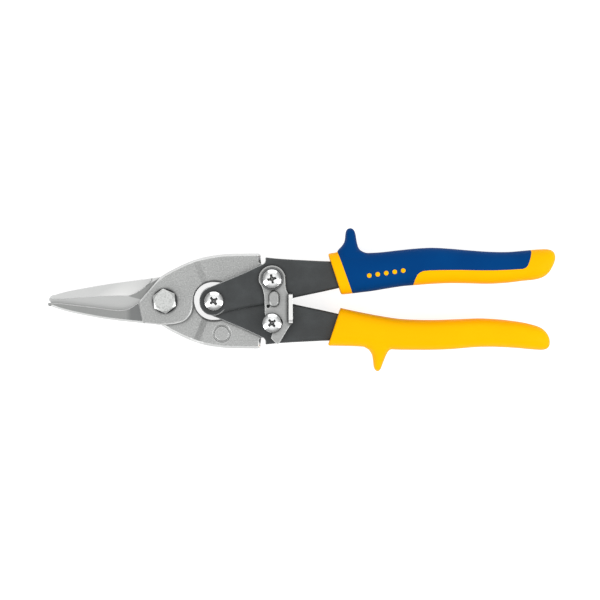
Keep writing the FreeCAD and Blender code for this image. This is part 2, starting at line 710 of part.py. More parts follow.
def lower_grip(handle):
    sketch = outline(
        "lower_grip_outline", (81.1, -22.3),
        [(87.4, -3.4)],
        [(92.0, -4.4), (107.0, -7.4), (116.9, -8.9), (134.3, -9.4), (156.7, -8.7), (176.6, -10.3),
         (186.9, -12.9)],
        [(192.0, -19.0), (189.0, -24.4)],
        [(171.6, -23.2), (161.7, -22.9), (141.8, -24.0), (113.9, -24.4), (101.5, -23.5), (92.0, -22.5),
         (81.1, -22.3)],
    )
    grip = rounded_grip("lower_grip", sketch)
    guard = outline(
        "finger_guard_outline", (100.0, -21.5),
        [(100.0, -23.3)],
        [(103.2, -26.5), (103.9, -32.5), (106.0, -34.9), (108.2, -32.5), (110.1, -26.9), (113.9, -24.4)],
        [(113.9, -21.5)], [(100.0, -21.5)],
    )
    stop = prism("finger_guard", guard, "-6.5", "6.5")
    whole = fuse("lower_grip_whole", grip, stop)
    sub_part("lower_grip", cut("lower_grip", whole, handle))


# ---------------------------------------------------------------- the document

sub_part("front_jaw", front_jaw())
sub_part("back_jaw", back_jaw())

upper_steel = channel("upper_handle", "0")
lower_steel = turned_over("lower_channel", channel("lower_handle", "dims.open_pivot_gap"))
upper_grip(upper_steel)
lower_grip(lower_steel)
sub_part("upper_handle", placed("upper_handle", upper_steel))
sub_part("lower_handle", placed("lower_handle", lower_steel))

build_fasteners()
latch()
torsion_spring()

doc.recompute()

failed = [item.Name for item in doc.Objects if "Invalid" in item.State or "Error" in item.State]
if failed:
    raise RuntimeError("not made: " + ", ".join(failed))

os.makedirs("parts", exist_ok=True)
for item in finished:
    shape = item.Shape
    if shape.isNull() or not shape.isValid() or not shape.Solids:
        raise RuntimeError(item.Label + " has no valid solid")
    shape.exportStep(os.path.join("parts", item.Label + ".step"))
    box = shape.optimalBoundingBox()
    print("%-26s %d solid(s) %9.1f mm3  x %7.2f %7.2f  y %7.2f %7.2f  z %6.2f %6.2f" % (
        item.Label, len(shape.Solids), shape.Volume,
        box.XMin, box.XMax, box.YMin, box.YMax, box.ZMin, box.ZMax))
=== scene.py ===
import json
import math

import bmesh
import bpy
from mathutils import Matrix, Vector


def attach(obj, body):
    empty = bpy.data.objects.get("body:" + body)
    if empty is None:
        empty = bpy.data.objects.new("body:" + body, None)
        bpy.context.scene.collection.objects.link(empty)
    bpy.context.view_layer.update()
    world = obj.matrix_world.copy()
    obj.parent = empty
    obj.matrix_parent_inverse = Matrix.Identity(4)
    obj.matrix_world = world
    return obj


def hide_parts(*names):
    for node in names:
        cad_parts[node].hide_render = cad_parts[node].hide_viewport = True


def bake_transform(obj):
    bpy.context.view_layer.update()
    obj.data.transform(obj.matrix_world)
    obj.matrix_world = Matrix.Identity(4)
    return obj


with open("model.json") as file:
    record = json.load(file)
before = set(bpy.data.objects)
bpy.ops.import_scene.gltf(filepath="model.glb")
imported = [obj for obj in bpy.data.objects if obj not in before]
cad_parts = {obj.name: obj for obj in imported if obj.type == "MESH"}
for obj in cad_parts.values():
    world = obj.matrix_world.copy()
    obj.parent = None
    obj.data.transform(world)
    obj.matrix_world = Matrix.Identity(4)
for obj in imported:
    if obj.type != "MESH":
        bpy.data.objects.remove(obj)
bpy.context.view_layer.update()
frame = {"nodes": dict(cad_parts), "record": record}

# Aviation snips lying flat, seen from straight above.
# Lengths are in millimetres until they reach a mesh, in the part's own frame: +X runs from the
# main pivot to the grips, +Y across the tool, +Z up from the floor.

MM = 0.001
MID = 10.0                      # height of the plane where the blades meet
HANDLE_PIVOT_X = 24.4


def new_object(name, data):
    item = bpy.data.objects.new(name, data)
    bpy.context.scene.collection.objects.link(item)
    return item


def circle(count):
    """Angles spread evenly round a full turn, in radians."""
    return [2 * math.pi * step / count for step in range(count)]


# ---------------------------------------------------------------- node helpers

EDGE_SAMPLES = 6                # rays of the mask that finds sharp edges
ROUND_SAMPLES = 4               # rays of the shading that rounds them
HOLLOW_SAMPLES = 8
# How far the rounded normal agrees with the true one beside a sharp edge and on it.
BESIDE_EDGE, ON_EDGE = 0.99, 0.86
# How level a face is where the mask of upright faces starts and where it is full.
LEANING, UPRIGHT = 0.55, 0.1


class Shader:
    """A material under construction: one Principled shader and the nodes that feed it."""

    def __init__(self, name, colour, roughness, metallic=0.0):
        self.material = bpy.data.materials.new(name)
        self.material.use_nodes = True
        self.tree = self.material.node_tree
        self.bsdf = self.tree.nodes["Principled BSDF"]
        self.bsdf.inputs["Metallic"].default_value = metallic
        self.place = self.tree.nodes.new("ShaderNodeTexCoord").outputs["Object"]
        base = self.tree.nodes.new("ShaderNodeRGB")
        base.outputs[0].default_value = (*colour, 1.0)
        self.colour = base.outputs[0]
        self.roughness = roughness      # a plain number until something varies it
        self.height = None              # the bump in millimetres, once there is any

    def maths(self, operation, *values):
        """A Math node; each value is a number or a socket."""
        node = self.tree.nodes.new("ShaderNodeMath")
        node.operation = operation
        for socket, value in zip(node.inputs, values):
            if isinstance(value, (int, float)):
                socket.default_value = value
            else:
                self.tree.links.new(value, socket)
        return node.outputs[0]

    def scaled_place(self, per_mm, stretch=(1, 1, 1), turn=0.0):
        """The place on the piece in units of 1 / per_mm millimetres; turn is in degrees."""
        mapping = self.tree.nodes.new("ShaderNodeMapping")
        mapping.inputs["Rotation"].default_value = (0, 0, math.radians(turn))
        mapping.inputs["Scale"].default_value = [s * per_mm / MM for s in stretch]
        self.tree.links.new(self.place, mapping.inputs["Vector"])
        return mapping.outputs[0]

    def noise(self, per_mm, stretch=(1, 1, 1), detail=4.0, turn=0.0):
        """Noise with a feature size of about 1 / per_mm millimetres."""
        node = self.tree.nodes.new("ShaderNodeTexNoise")
        node.inputs["Scale"].default_value = 1.0
        node.inputs["Detail"].default_value = detail
        self.tree.links.new(self.scaled_place(per_mm, stretch, turn), node.inputs["Vector"])
        return node.outputs["Fac"]

    def cells(self, per_mm):
        """Voronoi cells, for a moulded pebble texture."""
        node = self.tree.nodes.new("ShaderNodeTexVoronoi")
        node.inputs["Scale"].default_value = 1.0
        self.tree.links.new(self.scaled_place(per_mm), node.inputs["Vector"])
        return node.outputs["Distance"]

    def ramp(self, value, low, high):
        """A value stretched so that low becomes 0 and high becomes 1."""
        node = self.tree.nodes.new("ShaderNodeMapRange")
        node.inputs["From Min"].default_value = low
        node.inputs["From Max"].default_value = high
        self.tree.links.new(value, node.inputs["Value"])
        return node.outputs["Result"]

    def ramp_mm(self, value, low_mm, high_mm):
        return self.ramp(value, low_mm * MM, high_mm * MM)

    def above(self, value, limit_mm):
        return self.maths("GREATER_THAN", value, limit_mm * MM)

    def below(self, value, limit_mm):
        return self.maths("LESS_THAN", value, limit_mm * MM)

    def every(self, *masks):
        """The product of masks: where all of them hold."""
        product = masks[0]
        for mask in masks[1:]:
            product = self.maths("MULTIPLY", product, mask)
        return product

    def tint(self, colour, amount, limit):
        """Mixes another colour in, up to a share of limit where amount, a socket, is 1."""
        node = self.tree.nodes.new("ShaderNodeMix")
        node.data_type = "RGBA"
        self.tree.links.new(self.maths("MULTIPLY", amount, limit), node.inputs["Factor"])
        self.tree.links.new(self.colour, node.inputs["A"])
        node.inputs["B"].default_value = (*colour, 1.0)
        self.colour = node.outputs["Result"]

    def vary_roughness(self, amount, change):
        self.roughness = self.maths("MULTIPLY_ADD", amount, change, self.roughness)

    def raise_by(self, amount, height_mm):
        """Adds to the bump, in millimetres."""
        step = self.maths("MULTIPLY", amount, height_mm)
        self.height = step if self.height is None else self.maths("ADD", self.height, step)

    def parts_of(self, vector):
        node = self.tree.nodes.new("ShaderNodeSeparateXYZ")
        self.tree.links.new(vector, node.inputs[0])
        return node.outputs

    def position(self):
        return self.parts_of(self.place)

    def normal(self):
        return self.tree.nodes.new("ShaderNodeNewGeometry").outputs["Normal"]

    def levelness(self):
        """1 on level faces and 0 on upright ones."""
        return self.maths("ABSOLUTE", self.parts_of(self.normal())[2])

    def sides(self):
        """1 on upright faces and 0 on level ones."""
        return self.ramp(self.levelness(), LEANING, UPRIGHT)

    def rounded_normal(self, radius_mm, samples):
        """The normal as it would be if sharp edges were rounded."""
        bevel = self.tree.nodes.new("ShaderNodeBevel")
        bevel.samples = samples
        bevel.inputs["Radius"].default_value = radius_mm * MM
        return bevel.outputs[0]

    def edges(self, radius_mm):
        """1 along a sharp edge, falling to 0 at radius_mm from it."""
        dot = self.tree.nodes.new("ShaderNodeVectorMath")
        dot.operation = "DOT_PRODUCT"
        self.tree.links.new(self.rounded_normal(radius_mm, EDGE_SAMPLES), dot.inputs[0])
        self.tree.links.new(self.normal(), dot.inputs[1])
        return self.ramp(dot.outputs["Value"], BESIDE_EDGE, ON_EDGE)

    def hollows(self, reach_mm, shallow=0.9, deep=0.4):
        """1 deep in a recess or a corner and 0 in the open; shallow and deep are how open a place
        is where the mask starts and where it is full."""
        node = self.tree.nodes.new("ShaderNodeAmbientOcclusion")
        node.samples = HOLLOW_SAMPLES
        node.inputs["Distance"].default_value = reach_mm * MM
        return self.ramp(node.outputs["AO"], shallow, deep)

    def done(self, edge_mm):
        """Links everything up. edge_mm, unless it is 0, rounds sharp edges in the shading."""
        links = self.tree.links
        links.new(self.colour, self.bsdf.inputs["Base Color"])
        if isinstance(self.roughness, float):
            self.bsdf.inputs["Roughness"].default_value = self.roughness
        else:
            links.new(self.roughness, self.bsdf.inputs["Roughness"])
        normal = self.rounded_normal(edge_mm, ROUND_SAMPLES) if edge_mm else None
        if self.height is not None:
            bump = self.tree.nodes.new("ShaderNodeBump")
            bump.inputs["Strength"].default_value = 1.0
            bump.inputs["Distance"].default_value = MM
            links.new(self.height, bump.inputs["Height"])
            if normal is not None:
                links.new(normal, bump.inputs["Normal"])
            normal = bump.outputs[0]
        if normal is not None:
            links.new(normal, self.bsdf.inputs["Normal"])
        return self.material


# ---------------------------------------------------------------- jaws

# Linear colours of the jaws.
FORGED = (0.36, 0.365, 0.36)
FORGED_CLOUD = (0.44, 0.445, 0.44)
FORGED_PIT = (0.20, 0.205, 0.205)
FORGED_PEAK = (0.60, 0.61, 0.60)
# Painted shade: on the front blade's milled face and the back blade's ramp, and deeper by the
# hub.
BLADE_SHADE = (0.27, 0.275, 0.27)
BLADE_SHADE_BY_HUB = (0.16, 0.165, 0.165)
# Painted light: highlights on the front blade's bevel, the ground flat, its corner by the hub,
# the spine, its tip and the chamfers.
BLADE_BEVEL_HIGHLIGHT = (0.66, 0.66, 0.65)
GROUND_FLAT_LIGHT = (0.47, 0.475, 0.47)
HUB_CORNER_HIGHLIGHT = (0.62, 0.625, 0.62)
SPINE_HIGHLIGHT = (0.55, 0.555, 0.55)
SPINE_TIP_HIGHLIGHT = (0.74, 0.74, 0.73)
CHAMFER_HIGHLIGHT = (0.68, 0.685, 0.68)
# Edges lighter, as wear and as a painted highlight.
WORN_EDGE_AND_HIGHLIGHT = (0.95, 0.955, 0.95)
# Painted shade in hollows and corners, and painted shadow along the cut-out's rim.
HOLLOW_SHADE = (0.05, 0.05, 0.05)
CHAMFER_LEVELS = (0.6, 0.8)     # how level a chamfer's face is, at least and at most

# Slanted lines across the blades in plan, each a slope and the distance at which it lies.
SHOULDER_SLOPE, SHOULDER_AT = 0.2366, -13.2     # the milled face's end: x + slope * y
SHOULDER_RIM = (-13.8, -12.6)
CREASE_SLOPE, CREASE_AT = -0.537, 13.04         # along the spine: y + slope * x
RAMP_SLOPE, RAMP_FOOT_AT = 0.26, -2.44          # the foot of the dark ramp: y + slope * x

# Heights that bound the front blade's milled face, the bevel under it and the back blade's spine.
MILLED_LOW, MILLED_HIGH = MID + 3.3, MID + 3.5
BEVEL_LOW = MID + 2.3
SPINE_FOOT = MID + 0.2

# Distances along X.
BLADES_END = -3.0
HUB_SHADE = (-19.5, -17.0)
RAMP_START = -19.0
CORNER_START = -9.0
SPINE_END = -6.0
SPINE_FADE = (-9, -24)
CREASE_FADE = (22, 14)          # y + slope * x, as for the crease
HOLLOW_SHADE_START = -10.0

# The cut-out round the handle pivot: the radii between which the painted shadow along its rim
# fades, and where it starts.
CUT_OUT_FADE = (10.9, 10.2)
CUT_OUT_START = 13.0


def front_blade_tones(steel, x, z, shoulder, ahead):
    """Tints the front blade, milled on top up to a straight shoulder, with painted shade and
    highlight; gives its face's mask.
    """
    face = steel.every(steel.above(z, MILLED_LOW), steel.below(z, MILLED_HIGH), ahead)
    # Painted shade on the milled face, deeper towards the hub.
    steel.tint(BLADE_SHADE, face, 0.9)
    steel.tint(BLADE_SHADE_BY_HUB, steel.every(face, steel.ramp_mm(x, *HUB_SHADE)), 0.8)
    # A painted highlight on the bevel under the milled face.
    bevel = steel.every(steel.below(z, MILLED_LOW), steel.above(z, BEVEL_LOW),
                        steel.below(shoulder, SHOULDER_AT))
    steel.tint(BLADE_BEVEL_HIGHLIGHT, bevel, 0.8)
    return face


def back_blade_tones(steel, x, y, z, ahead):
    """Tints the back blade, a ground flat below a raised spine, with painted light and shade;
    gives the flat's mask.
    """
    crease = steel.maths("MULTIPLY_ADD", x, CREASE_SLOPE, y)
    ramp_foot = steel.maths("MULTIPLY_ADD", x, RAMP_SLOPE, y)
    # Painted light on the ground flat.
    flat = steel.every(steel.below(z, SPINE_FOOT), ahead)
    steel.tint(GROUND_FLAT_LIGHT, flat, 0.95)
    # Painted shade on the ramp, a hollow grind drawn in the colour, not in the shape.
    ramp = steel.every(flat, steel.above(ramp_foot, RAMP_FOOT_AT), steel.above(x, RAMP_START))
    steel.tint(BLADE_SHADE, ramp, 0.9)
    # A painted highlight on the flat's corner by the hub.
    corner = steel.every(flat, steel.above(crease, CREASE_AT), steel.above(x, CORNER_START))
    steel.tint(HUB_CORNER_HIGHLIGHT, corner, 0.95)
    # A painted highlight on the raised spine, brightest towards its tip.
    spine = steel.every(steel.below(x, SPINE_END), steel.above(z, SPINE_FOOT))
    steel.tint(SPINE_HIGHLIGHT, spine, 0.95)
    tip = steel.every(spine, steel.ramp_mm(crease, *CREASE_FADE), steel.ramp_mm(x, *SPINE_FADE))
    steel.tint(SPINE_TIP_HIGHLIGHT, tip, 0.9)
    return flat


def cut_out_shadow(steel, x, y):
    """The mask of a painted shadow along the rim of the cut-out round the handle pivot."""
    off = steel.maths("SUBTRACT", x, HANDLE_PIVOT_X * MM)
    away = steel.maths("SQRT", steel.maths("ADD", steel.maths("MULTIPLY", off, off),
                                           steel.maths("MULTIPLY", y, y)))
    return steel.every(steel.ramp_mm(away, *CUT_OUT_FADE), steel.above(x, CUT_OUT_START))


def jaw_steel(name, milled_on_top):
    """Forged steel, tumbled to a satin grey, with a ground blade."""
    steel = Shader(name, FORGED, 0.40, metallic=1.0)
    steel.tint(FORGED_CLOUD, steel.ramp(steel.noise(0.05, detail=3), 0.35, 0.7), 0.5)
    grain = steel.noise(1.6, detail=8)
    steel.tint(FORGED_PIT, steel.ramp(grain, 0.5, 0.72), 0.6)
    steel.tint(FORGED_PEAK, steel.ramp(grain, 0.46, 0.3), 0.5)
    steel.raise_by(grain, 0.03)
    x, y, z = steel.position()
    ahead = steel.below(x, BLADES_END)
    if milled_on_top:
        shoulder = steel.maths("MULTIPLY_ADD", y, SHOULDER_SLOPE, x)
        face = front_blade_tones(steel, x, z, shoulder, ahead)
    else:
        face = back_blade_tones(steel, x, y, z, ahead)
    grinding = steel.noise(4.0, stretch=(0.04, 1, 1), detail=3)
    steel.raise_by(steel.maths("MULTIPLY", grinding, face), 0.03)
    steel.vary_roughness(grain, 0.12)
    # A painted highlight on the chamfers, the faces neither level nor upright.
    level = steel.levelness()
    least, most = CHAMFER_LEVELS
    chamfers = steel.every(steel.maths("GREATER_THAN", level, least),
                           steel.maths("LESS_THAN", level, most))
    steel.tint(CHAMFER_HIGHLIGHT, chamfers, 0.9)
    # Sharp edges painted lighter, as wear and as a highlight.
    steel.tint(WORN_EDGE_AND_HIGHLIGHT, steel.edges(0.6), 0.8)
    # Painted shade in hollows and corners of the hub and arms.
    steel.tint(HOLLOW_SHADE, steel.every(steel.hollows(1.6), steel.above(x, HOLLOW_SHADE_START)), 0.8)
    # Along the shoulder the painted light and shade give way to the plain forged colour again.
    if milled_on_top:
        low, high = SHOULDER_RIM
        rim = steel.every(steel.above(z, MILLED_HIGH), steel.above(shoulder, low),
                          steel.below(shoulder, high))
        steel.tint(FORGED, rim, 0.9)
    # A painted shadow along the rim of the cut-out round the handle pivot.
    steel.tint(HOLLOW_SHADE, cut_out_shadow(steel, x, y), 0.85)
    return steel.done(0.45)


# ---------------------------------------------------------------- other materials

PHOSPHATE = (0.030, 0.033, 0.034)
PHOSPHATE_CLOUD = (0.052, 0.058, 0.060)
PHOSPHATE_PIT = (0.018, 0.019, 0.02)
# Edges lighter, as bare worn steel and as a painted highlight.
BARE_EDGE_AND_HIGHLIGHT = (0.60, 0.61, 0.61)
# Painted shade in hollows and corners.
PHOSPHATE_HOLLOW_SHADE = (0.008, 0.008, 0.008)
# A painted highlight on the top of the latch's thumb tab.
TAB_TOP_HIGHLIGHT = (0.80, 0.80, 0.79)
# Painted shade in recesses and corners.
PLATED_HOLLOW_SHADE = (0.012, 0.012, 0.012)
BOLT_ZINC = (0.56, 0.57, 0.56)
BOLT_PIT = (0.30, 0.305, 0.30)
# A painted highlight on the bolt's edges.
BOLT_EDGE_HIGHLIGHT = (0.90, 0.90, 0.89)
# Painted shade in hollows and corners.
BOLT_HOLLOW_SHADE = (0.03, 0.03, 0.03)
BOLT_TOP = 19.9                 # just below the rough top of the main bolt's head
PLASTIC_SPECULAR = 0.03


def dark_steel():
    """Pressed handles with a dark grey phosphate finish."""
    steel = Shader("handle_phosphate", PHOSPHATE, 0.46, metallic=0.25)
    cloud = steel.noise(0.12, detail=3)
    grain = steel.noise(2.5, detail=8)
    steel.tint(PHOSPHATE_CLOUD, steel.ramp(cloud, 0.4, 0.75), 0.6)
    steel.tint(PHOSPHATE_PIT, steel.ramp(grain, 0.5, 0.75), 0.5)
    # Edges painted lighter, as bare worn steel and as a highlight.
    steel.tint(BARE_EDGE_AND_HIGHLIGHT, steel.edges(0.8), 0.8)
    # Painted shade in hollows and corners.
    steel.tint(PHOSPHATE_HOLLOW_SHADE, steel.hollows(2.0), 0.8)
    steel.raise_by(grain, 0.02)
    steel.vary_roughness(grain, 0.1)
    return steel.done(0.5)


def plated(name, colour, roughness, grain_per_mm, speckle=0.0, brushed=None,
           bright_above=None, edge_mm=0.35):
    """Plated steel; brushed is the direction of its brush marks in degrees, bright_above a height
    over which it is painted bright as a highlight, and edge_mm the width of its edges painted
    lighter, as wear and as a highlight."""
    steel = Shader(name, colour, roughness, metallic=1.0)
    grain = steel.noise(grain_per_mm, detail=6)
    dark = [c * 0.5 for c in colour]
    light = [min(1.0, c * 1.9 + 0.1) for c in colour]
    steel.tint(dark, steel.ramp(grain, 0.52, 0.8), 0.5 + speckle)
    steel.raise_by(grain, 0.012 + 0.03 * speckle)
    if brushed is not None:
        lines = steel.noise(3.0, stretch=(0.03, 1, 1), detail=3, turn=brushed)
        steel.raise_by(lines, 0.02)
        steel.tint(dark, steel.ramp(lines, 0.5, 0.8), 0.4)
        steel.vary_roughness(lines, 0.12)
    if bright_above is not None:
        # The part above that height is painted bright, as a highlight.
        steel.tint(TAB_TOP_HIGHLIGHT, steel.above(steel.position()[2], bright_above), 0.9)
    # Edges painted lighter, as wear and as a highlight.
    steel.tint(light, steel.edges(edge_mm), 0.75)
    # Painted shade in recesses and corners.
    steel.tint(PLATED_HOLLOW_SHADE, steel.hollows(2.4, 0.95, 0.6), 0.96)
    return steel.done(0.3)


def bolt_head():
    """The main bolt: zinc plate, with a rough upset top."""
    steel = Shader("pivot_bolt_zinc", BOLT_ZINC, 0.33, metallic=1.0)
    pits = steel.noise(1.1, detail=8)
    top = steel.above(steel.position()[2], BOLT_TOP)
    steel.tint(BOLT_PIT, steel.maths("MULTIPLY", steel.ramp(pits, 0.5, 0.7), top), 0.8)
    steel.raise_by(steel.maths("MULTIPLY", pits, top), 0.16)
    steel.raise_by(steel.noise(4.0), 0.006)
    steel.vary_roughness(pits, 0.2)
    # Edges painted lighter, as a highlight.
    steel.tint(BOLT_EDGE_HIGHLIGHT, steel.edges(0.35), 0.75)
    # Painted shade in hollows and corners.
    steel.tint(BOLT_HOLLOW_SHADE, steel.hollows(1.6), 0.8)
    return steel.done(0.3)


def moulding(name, colour, shade, light, roughness, pebbles_per_mm, height_mm):
    """Moulded plastic with a fine pebble texture, slightly uneven colour and painted shade on its
    upright sides and in its hollows.
    """
    skin = Shader(name, colour, roughness)
    skin.bsdf.inputs["Specular IOR Level"].default_value = PLASTIC_SPECULAR
    skin.tint(light, skin.ramp(skin.noise(0.045, detail=2), 0.42, 0.72), 0.6)
    # Painted shade on the upright sides and in hollows.
    skin.tint(shade, skin.sides(), 0.4)
    skin.tint(shade, skin.hollows(1.2), 0.6)
    pebble = skin.cells(pebbles_per_mm)
    fine = skin.noise(3.0, detail=5)
    skin.tint(shade, skin.ramp(fine, 0.6, 0.85), 0.12)
    skin.raise_by(pebble, height_mm)
    skin.raise_by(fine, 0.008)
    skin.vary_roughness(fine, 0.12)
    return skin.done(0.3)


# By node, or by material slot for every node that has none of its own.
MATERIALS = {
    "front_jaw": jaw_steel("front_jaw_steel", True),
    "back_jaw": jaw_steel("back_jaw_steel", False),
    "handle_steel": dark_steel(),
    "pivot_bolt": bolt_head(),
    "screw": plated("screw_chrome", (0.85, 0.86, 0.86), 0.18, 3.0),
    # Washers: zinc, painted dark as the shade beside the main bolt's head.
    "washer": plated("washer_zinc_dark_as_shade", (0.24, 0.245, 0.25), 0.35, 2.5),
    "nut": plated("nut_zinc", (0.50, 0.50, 0.48), 0.3, 2.5, speckle=0.2),
    "bush": plated("bush_steel", (0.40, 0.40, 0.40), 0.35, 2.5),
    "spring_steel": plated("spring_wire", (0.20, 0.20, 0.21), 0.3, 5.0),
    "latch_steel": plated("latch_plate_steel", (0.38, 0.385, 0.38), 0.30, 1.6, brushed=90,
                          bright_above=MID + 11.5, edge_mm=0.8),
    "grip_yellow": moulding("grip_hard_yellow", (0.92, 0.43, 0.0), (0.78, 0.27, 0.0),
                            (0.95, 0.47, 0.0), 0.42, 1.5, 0.015),
    "grip_blue": moulding("grip_soft_blue", (0.0, 0.040, 0.168), (0.0, 0.018, 0.085),
                          (0.0, 0.050, 0.196), 0.5, 1.2, 0.03),
}


def dress(item, material):
    item.data.materials.clear()
    item.data.materials.append(material)


def dress_cad_nodes():
    slots = {row["node"]: row["material_slot"] for row in frame["record"]["subparts"]}
    for node, item in frame["nodes"].items():
        dress(item, MATERIALS.get(node) or MATERIALS[slots[node]])


# ---------------------------------------------------------------- mesh helpers

LOFT_SIDES = 56
WELD = 0.002                    # vertices nearer than this are one
SHARPEST_BEND = 0.3             # keeps a moved corner from shooting out


def mesh_data(name, mesh):
    data = bpy.data.meshes.new(name)
    mesh.to_mesh(data)
    return data


def new_piece(name, mesh, material, body):
    piece = new_object(name, mesh)
    dress(piece, material)
    if body:
        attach(piece, body)
    return piece


def smoothed(points, count):
    """A Catmull-Rom curve through tuples of numbers, as count tuples."""
    last = len(points) - 1
    curve = []
    for step in range(count):
        at = step / (count - 1) * last
        index = min(int(at), last - 1)
        t = at - index
        p0, p1 = points[max(index - 1, 0)], points[index]
        p2, p3 = points[index + 1], points[min(index + 2, last)]
        curve.append(tuple(
            0.5 * (2 * b + (c - a) * t + (2 * a - 5 * b + 4 * c - d) * t ** 2
                   + (3 * b - a - 3 * c + d) * t ** 3)
            for a, b, c, d in zip(p0, p1, p2, p3)))
    return curve


def wall(mesh, rings):
    """Faces between neighbouring rings of vertices."""
    for first, second in zip(rings, rings[1:]):
        for here in range(len(first)):
            after = (here + 1) % len(first)
            mesh.faces.new((first[here], first[after], second[after], second[here]))


def closed_wall(mesh, rings):
    """Faces between neighbouring rings, and a cap on each end."""
    wall(mesh, rings)
    mesh.faces.new(reversed(rings[0]))
    mesh.faces.new(rings[-1])
    bmesh.ops.recalc_face_normals(mesh, faces=mesh.faces)


def lofted(sections, squareness=2.8):
    """A closed bmesh through sections; each is (x1, y1, x2, y2, half thickness), a flat oval
    standing between two points of the plan."""
    mesh = bmesh.new()
    power = 2 / squareness
    rings = []
    for x1, y1, x2, y2, half in sections:
        ring = []
        for angle in circle(LOFT_SIDES):
            c, s = math.cos(angle), math.sin(angle)
            across = math.copysign(abs(c) ** power, c)
            up = math.copysign(abs(s) ** power, s)
            x = (x1 + x2) / 2 + (x1 - x2) / 2 * across
            y = (y1 + y2) / 2 + (y1 - y2) / 2 * across
            ring.append(mesh.verts.new(Vector((x, y, MID + half * up)) * MM))
        rings.append(ring)
    closed_wall(mesh, rings)
    return mesh


def prism(name, corners, low, high):
    """A working object: a plan outline extruded between two heights."""
    mesh = bmesh.new()
    face = mesh.faces.new([mesh.verts.new(Vector((x, y, low)) * MM) for x, y in corners])
    raised = bmesh.ops.extrude_face_region(mesh, geom=[face])["geom"]
    bmesh.ops.translate(mesh, vec=Vector((0, 0, (high - low) * MM)),
                        verts=[v for v in raised if isinstance(v, bmesh.types.BMVert)])
    bmesh.ops.recalc_face_normals(mesh, faces=mesh.faces)
    return new_object(name, mesh_data(name, mesh))


def apply_modifiers(item):
    graph = bpy.context.evaluated_depsgraph_get()
    mesh = bpy.data.meshes.new_from_object(item.evaluated_get(graph))
    mesh.name = item.name
    item.data = mesh
    item.modifiers.clear()


def melted(name, parts):
    """Joins closed bmeshes into one skin and softens it, as a moulding is."""
    data = bpy.data.meshes.new(name)
    whole = bmesh.new()
    for part in parts:
        part.to_mesh(data)
        whole.from_mesh(data)
    whole.to_mesh(data)
    item = new_object(name, data)
    remesh = item.modifiers.new("remesh", "REMESH")
    remesh.mode = "VOXEL"
    remesh.voxel_size = VOXEL * MM
    smooth = item.modifiers.new("smooth", "SMOOTH")
    smooth.factor = 0.5
    smooth.iterations = RELAX
    apply_modifiers(item)
    return item


def boolean(item, tool, operation):
    """Cuts an object by another, which stays."""
    step = item.modifiers.new("cut", "BOOLEAN")
    step.operation = operation
    step.solver = "EXACT"
    step.object = tool
    apply_modifiers(item)


def shade_smooth(item, sharp_degrees):
    """Smooth faces, with edges sharper than the angle kept crisp."""
    sharp = math.radians(sharp_degrees)
    mesh = bmesh.new()
    mesh.from_mesh(item.data)
    bmesh.ops.remove_doubles(mesh, verts=mesh.verts, dist=WELD * MM)
    for face in mesh.faces:
        face.smooth = True
    for edge in mesh.edges:
        edge.smooth = not edge.is_manifold or edge.calc_face_angle() < sharp
    mesh.to_mesh(item.data)


def grown(corners, by):
    """A plan outline moved outwards by a distance, or inwards if it is negative."""
    points = [Vector(corner) for corner in corners]
    following = points[1:] + points[:1]
    area = sum(here.x * after.y - after.x * here.y for here, after in zip(points, following))
    side = math.copysign(by, area)
    moved = []
    for before, here, after in zip(points[-1:] + points[:-1], points, following):
        into, out = here - before, after - here
        n1 = Vector((into.y, -into.x)).normalized()
        n2 = Vector((out.y, -out.x)).normalized()
        bend = max(SHARPEST_BEND, 1 + n1.dot(n2))
        moved.append(tuple(here + (n1 + n2) * (side / bend)))
    return moved


# ---------------------------------------------------------------- grips

# Sections of each grip from its front edge to its butt: a point on the outline towards +Y, one
# on the outline towards -Y, and half the thickness there.
UPPER_GRIP = [
    (81.2, 23.6, 87.8, 3.2, 9.4), (85.5, 24.3, 92.0, 3.6, 9.9),
    (91.0, 24.4, 97.0, 4.2, 10.0), (99.0, 24.0, 103.5, 5.0, 10.0),
    (107.0, 24.3, 110.0, 6.1, 10.0), (116.9, 25.4, 118.5, 7.4, 10.0),
    (125.0, 26.2, 126.0, 8.0, 10.0), (133.3, 26.6, 134.0, 8.6, 10.0),
    (142.5, 26.1, 142.5, 8.9, 10.0), (151.7, 25.3, 151.7, 8.8, 10.0),
    (161.7, 24.6, 161.7, 8.6, 10.0), (171.0, 24.5, 170.5, 9.1, 10.0),
    (179.5, 25.2, 178.0, 10.0, 10.0), (186.0, 25.8, 184.5, 10.7, 9.9),
    (190.5, 25.9, 188.7, 12.0, 9.2), (193.0, 25.2, 191.4, 14.3, 7.8),
    (194.3, 23.6, 193.3, 17.5, 5.4), (194.7, 21.8, 194.4, 20.0, 2.2),
]
LOWER_GRIP = [
    (87.4, -3.4, 81.1, -22.4, 9.4), (91.0, -4.2, 86.0, -22.4, 9.9),
    (98.0, -5.7, 95.0, -22.6, 10.0), (107.0, -7.4, 104.5, -23.3, 10.0),
    (116.9, -8.9, 114.0, -24.2, 10.0), (125.5, -9.35, 123.5, -24.4, 10.0),
    (134.3, -9.45, 133.0, -24.4, 10.0), (145.5, -9.1, 143.5, -24.0, 10.0),
    (156.7, -8.7, 154.0, -23.1, 10.0), (166.7, -9.2, 164.0, -22.9, 10.0),
    (176.6, -10.4, 174.5, -23.4, 10.0), (182.5, -11.6, 181.0, -24.0, 9.9),
    (186.8, -13.0, 185.5, -24.35, 9.4), (189.5, -15.0, 188.6, -24.4, 8.4),
    (191.2, -17.6, 190.6, -23.7, 6.4), (191.9, -20.0, 191.7, -22.4, 3.0),
]
